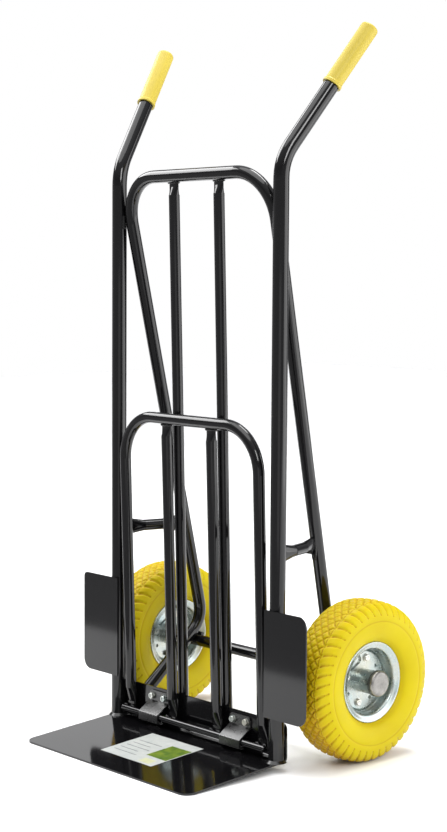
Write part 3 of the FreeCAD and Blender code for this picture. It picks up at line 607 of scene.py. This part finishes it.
def bar_beads():
    """Fillet beads round the crushed ends of the bars and braces."""
    x, y, z = Vector((1, 0, 0)), Vector((0, 1, 0)), Vector((0, 0, 1))
    for side in SIDES:
        for bar, half_wide, body in (("_inner_bar", INNER_BAR_HALF, "frame"),
                                     ("_fold_bar", FOLD_BAR_HALF, "toe_frame")):
            top = end_centre(side + bar, 2, 1, BAR_END) - z * BAR_BEAD_DROP
            oval_bead(side + bar + "_bead", top, x, half_wide, y, BAR_BEAD_R, body)
        for end, sign in (("front", -1), ("rear", 1)):
            spot = end_centre(side + "_brace", 1, sign, BRACE_END)
            oval_bead("%s_brace_bead_%s" % (side, end), spot, z, BRACE_HALF, x,
                      BRACE_BEAD_R, "frame")


rod_beads()
bar_beads()


# ---- label --------------------------------------------------------------------------
LABEL_COLUMNS, LABEL_ROWS = 24, 20
LABEL_CAD_SHEET = 0.3 * MM   # thickness of the CAD node, taken off to find the plate's slope
LABEL_SHEET = 0.12 * MM
LABEL_LIFT = 0.35 * MM       # top of the sheet above the plate, where it lies lowest
PRINT_LIFT = LABEL_LIFT + 0.14 * MM
LABEL_WAVE = 0.10 * MM       # how much the sheet cockles
WAVE_X, WAVE_Y = 90, 40      # radians of its wave in a metre
# the grey rules, in shares of the label's depth and of its width
RULES = 5
RULE_START, RULE_STEP, RULE_THICK = 0.18, 0.12, 0.018
RULE_LEFT, RULE_LONG, RULE_SHORT = 0.08, 0.44, 0.34


def label():
    """Thin printed sheet laid on the toe plate, with a generic picture patch and grey rules."""
    low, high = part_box("toe_label")
    wide, deep = high.x - low.x, high.y - low.y
    slope = (high.z - low.z - LABEL_CAD_SHEET) / deep

    def patch(name, left, right, front, back, lift, material, nodes=()):
        """Sheet over a rectangle that is given in shares of the label's width and depth."""
        bm = bmesh.new()
        top, under = {}, {}
        for j in range(LABEL_ROWS + 1):
            y = low.y + (front + (back - front) * j / LABEL_ROWS) * deep
            for i in range(LABEL_COLUMNS + 1):
                x = low.x + (left + (right - left) * i / LABEL_COLUMNS) * wide
                wave = LABEL_WAVE * (1 + math.sin(x * WAVE_X + y * WAVE_Y))
                z = low.z + slope * (y - low.y) + lift + wave
                top[i, j] = bm.verts.new((x, y, z))
                under[i, j] = bm.verts.new((x, y, z - LABEL_SHEET))
        for j in range(LABEL_ROWS):
            for i in range(LABEL_COLUMNS):
                corners = ((i, j), (i + 1, j), (i + 1, j + 1), (i, j + 1))
                bm.faces.new([top[corner] for corner in corners])
                bm.faces.new([under[corner] for corner in reversed(corners)])
        columns, rows = range(LABEL_COLUMNS), range(LABEL_ROWS)
        border = ([(i, 0) for i in columns] + [(LABEL_COLUMNS, j) for j in rows]
                  + [(LABEL_COLUMNS - i, LABEL_ROWS) for i in columns]
                  + [(0, LABEL_ROWS - j) for j in rows])
        for a, b in zip(border, border[1:] + border[:1]):
            bm.faces.new((under[a], under[b], top[b], top[a]))
        new_piece(name, bm, material, "frame", nodes)

    patch("label_sheet", 0.0, 1.0, 0.0, 1.0, LABEL_LIFT, PAPER, ["toe_label"])
    patch("label_picture", 0.61, 0.985, 0.29, 0.79, PRINT_LIFT, GREEN)
    patch("label_corner", 0.70, 0.90, 0.05, 0.20, PRINT_LIFT, CREAM)
    for i in range(RULES):
        front = RULE_START + RULE_STEP * i
        right = RULE_LEFT + (RULE_SHORT if i % 2 else RULE_LONG)
        patch("label_rule_%d" % (i + 1), RULE_LEFT, right, front, front + RULE_THICK,
              PRINT_LIFT, GREY)


label()


# ---- floor, light and camera --------------------------------------------------------
FLOOR = (-8.0, 5.0, -0.55, 8.0)     # left, right, front and back edges
CAMERA_PLACE = (2.1295, -1.8911, 0.7924)
CAMERA_TILT, CAMERA_TURN = 85.01, 48.02     # degrees from straight down, and about Z
CAMERA_LENS, CAMERA_SENSOR = 75.378, 36.0
SUN_AIM, SUN_STRENGTH, SUN_SPREAD = (0.10, 0.25, -1.0), 2.2, 60.0
# name, place, aimed at, width, height, watts
AREA_LIGHTS = (
    ("key", (3.0, -1.3, 2.3), (0, 0, 0.4), 0.9, 1.3, 42),
    ("top_box", (0.0, 0.9, 3.0), (0, 0, 0.8), 1.4, 0.5, 35),
    ("box_left", (-2.3, -0.6, 2.5), (0, 0, 0.5), 2.0, 1.3, 70),
    ("panel_back", (-3.4, 2.9, 1.1), (0, 0, 0.2), 3.0, 1.6, 14),
    ("panel_right", (2.5, 1.95, 1.0), (0, 0, 0.6), 3.2, 2.0, 55),
    ("fill_front", (2.7, -2.5, 0.3), (0, 0, 0.5), 2.0, 1.0, 3),
)
# height on the dome, from the horizon to straight up, and its colour
DOME = (
    (0.0, (0.45, 0.45, 0.46, 1.0)),
    (0.25, (0.22, 0.22, 0.23, 1.0)),
    (1.0, (0.85, 0.86, 0.88, 1.0)),
)


def floor():
    """Pale sheet under the object, short in front and long behind."""
    mesh = bpy.data.meshes.new("floor")
    left, right, front, back = FLOOR
    mesh.from_pydata([(left, front, 0), (right, front, 0), (right, back, 0), (left, back, 0)],
                     [], [(0, 1, 2, 3)])
    obj = bpy.data.objects.new("floor", mesh)
    bpy.context.scene.collection.objects.link(obj)
    m = Mat("floor_pale", Roughness=0.6)
    m.to("Base Color", m.ramp(m.noise(1.5), [(0.3, 0.86), (0.7, 0.88)]))
    mesh.materials.append(m.mat)


def area(name, place, target, width, height, watts):
    """Soft box that the camera does not see."""
    light = bpy.data.lights.new(name, "AREA")
    light.shape = "RECTANGLE"
    light.size, light.size_y = width, height
    light.energy = watts
    obj = bpy.data.objects.new(name, light)
    obj.location = place
    obj.rotation_euler = (Vector(target) - Vector(place)).to_track_quat("-Z", "Y").to_euler()
    obj.visible_camera = False
    bpy.context.scene.collection.objects.link(obj)


def world():
    """White studio: the view sees white, and a dome that is dark low down lights the object."""
    w = bpy.data.worlds.new("studio")
    w.use_nodes = True
    nodes, links = w.node_tree.nodes, w.node_tree.links
    background = nodes["Background"]
    coords = nodes.new("ShaderNodeTexCoord")
    split = nodes.new("ShaderNodeSeparateXYZ")
    dome = nodes.new("ShaderNodeValToRGB")
    path = nodes.new("ShaderNodeLightPath")
    mix = nodes.new("ShaderNodeMix")
    mix.data_type = "RGBA"
    stops = dome.color_ramp.elements
    stops[0].position, stops[1].position = DOME[0][0], DOME[-1][0]
    stops.new(DOME[1][0])
    for stop, (_, colour) in zip(stops, DOME):
        stop.color = colour
    links.new(coords.outputs["Generated"], split.inputs["Vector"])
    links.new(split.outputs["Z"], dome.inputs["Fac"])
    links.new(path.outputs["Is Camera Ray"], mix.inputs["Factor"])
    links.new(dome.outputs["Color"], mix.inputs["A"])
    mix.inputs["B"].default_value = (1.0, 1.0, 1.0, 1.0)
    links.new(mix.outputs["Result"], background.inputs["Color"])
    bpy.context.scene.world = w
    bpy.context.scene.view_settings.view_transform = "Standard"


def sun():
    """Very wide sun from above, for an even light on top."""
    light = bpy.data.lights.new("dome_sun", "SUN")
    light.energy = SUN_STRENGTH
    light.angle = math.radians(SUN_SPREAD)
    obj = bpy.data.objects.new("dome_sun", light)
    obj.rotation_euler = Vector(SUN_AIM).to_track_quat("-Z", "Y").to_euler()
    bpy.context.scene.collection.objects.link(obj)


def camera():
    """Camera at the photograph's viewing angle: level roll, looking a little downwards."""
    cam = bpy.data.cameras.new("camera")
    cam.sensor_width = CAMERA_SENSOR
    cam.lens = CAMERA_LENS
    obj = bpy.data.objects.new("camera", cam)
    obj.location = CAMERA_PLACE
    obj.rotation_euler = (math.radians(CAMERA_TILT), 0.0, math.radians(CAMERA_TURN))
    bpy.context.scene.collection.objects.link(obj)
    bpy.context.scene.camera = obj


floor()
world()
sun()
for light in AREA_LIGHTS:
    area(*light)
camera()
